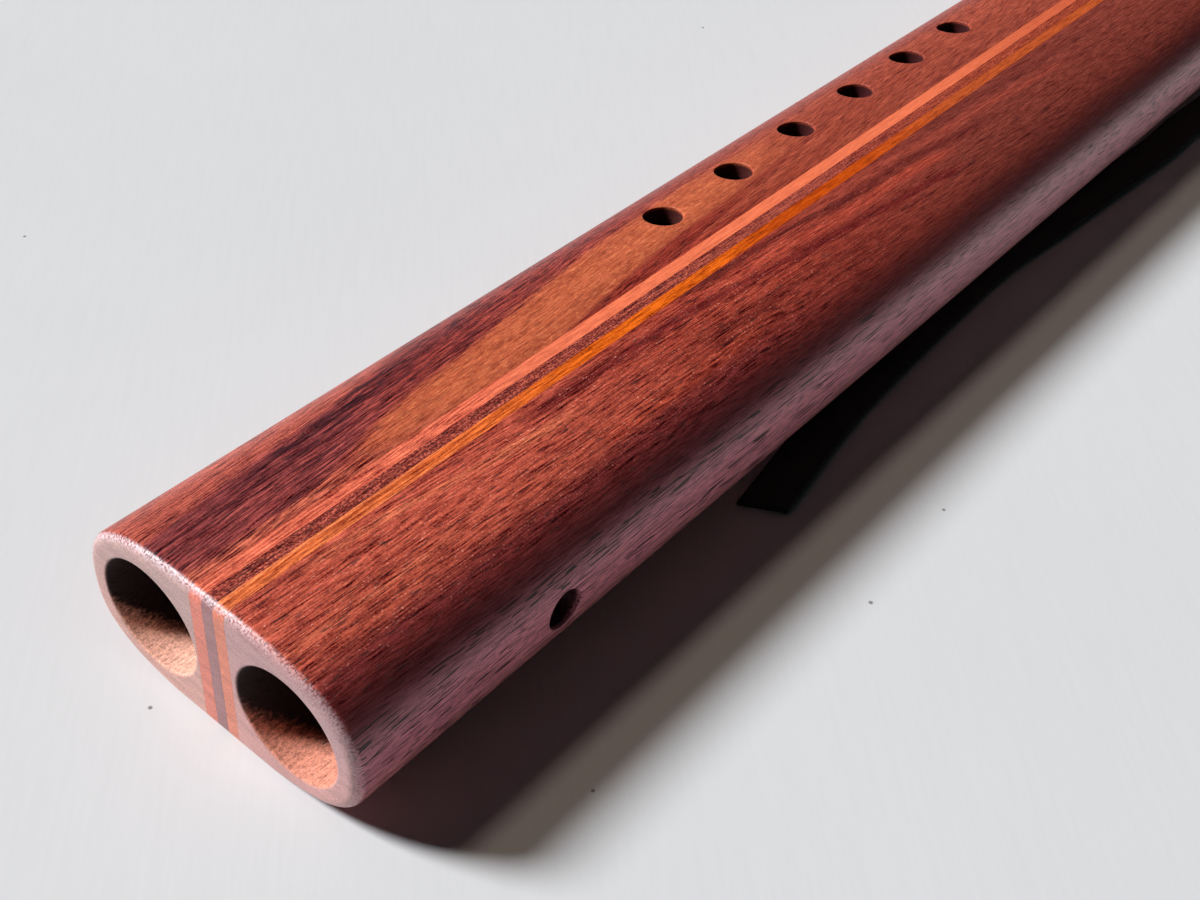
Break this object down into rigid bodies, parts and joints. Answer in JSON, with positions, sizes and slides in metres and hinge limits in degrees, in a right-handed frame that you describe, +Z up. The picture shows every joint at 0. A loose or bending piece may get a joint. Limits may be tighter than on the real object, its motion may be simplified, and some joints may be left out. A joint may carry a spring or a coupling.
{
  "type": "double flute",
  "caption": "Wooden double flute: a melody pipe with finger holes beside a drone pipe in one rounded laminated body, with sliding tuning blocks tied on by a flat leather strap.",
  "frame": {"origin": "on the surface the flute lies on, under the middle of its body", "axes": "+Y along the body towards the mouthpiece, +Z up, the drone pipe at +X and the melody pipe at -X"},
  "size_m": [0.0846, 0.6, 0.0459],
  "materials": {
    "melody_walnut": "oiled reddish-brown open-pored wood with a satin sheen",
    "drone_walnut": "oiled reddish-brown open-pored wood with a satin sheen",
    "coral_wood": "oiled coral-pink hardwood, satin",
    "dark_wood": "oiled dark brown hardwood with fine stipple, satin",
    "orange_wood": "oiled amber-orange hardwood, satin",
    "plate_wood": "thin dark hardwood, satin",
    "block_wood": "hand-shaped hardwood, oiled satin",
    "black_leather": "black flat leather strap, matt grain"
  },
  "bodies": {
    "flute_body": {"melody_board_upper": "melody_walnut", "melody_board_lower": "melody_walnut", "coral_strip_upper": "coral_wood", "coral_strip_lower": "coral_wood", "dark_strip_upper": "dark_wood", "dark_strip_lower": "dark_wood", "orange_strip_upper": "orange_wood", "orange_strip_lower": "orange_wood", "drone_board_upper": "drone_walnut", "drone_board_lower": "drone_walnut", "melody_flue_plate": "plate_wood", "drone_flue_plate": "plate_wood", "tie_wraps": "black_leather", "tie_knot": "black_leather", "strap_tail_long": "black_leather", "strap_tail_short": "black_leather"},
    "melody_block_slider": {"melody_block": "block_wood"},
    "drone_block_slider": {"drone_block": "block_wood"}
  },
  "joints": [
    {"name": "melody_block_slide", "type": "slide", "parent": "flute_body", "child": "melody_block_slider", "axis": [0, 1, 0], "range_m": [-0.002, 0.002]},
    {"name": "drone_block_slide", "type": "slide", "parent": "flute_body", "child": "drone_block_slider", "axis": [0, 1, 0], "range_m": [-0.002, 0.002]}
  ]
}
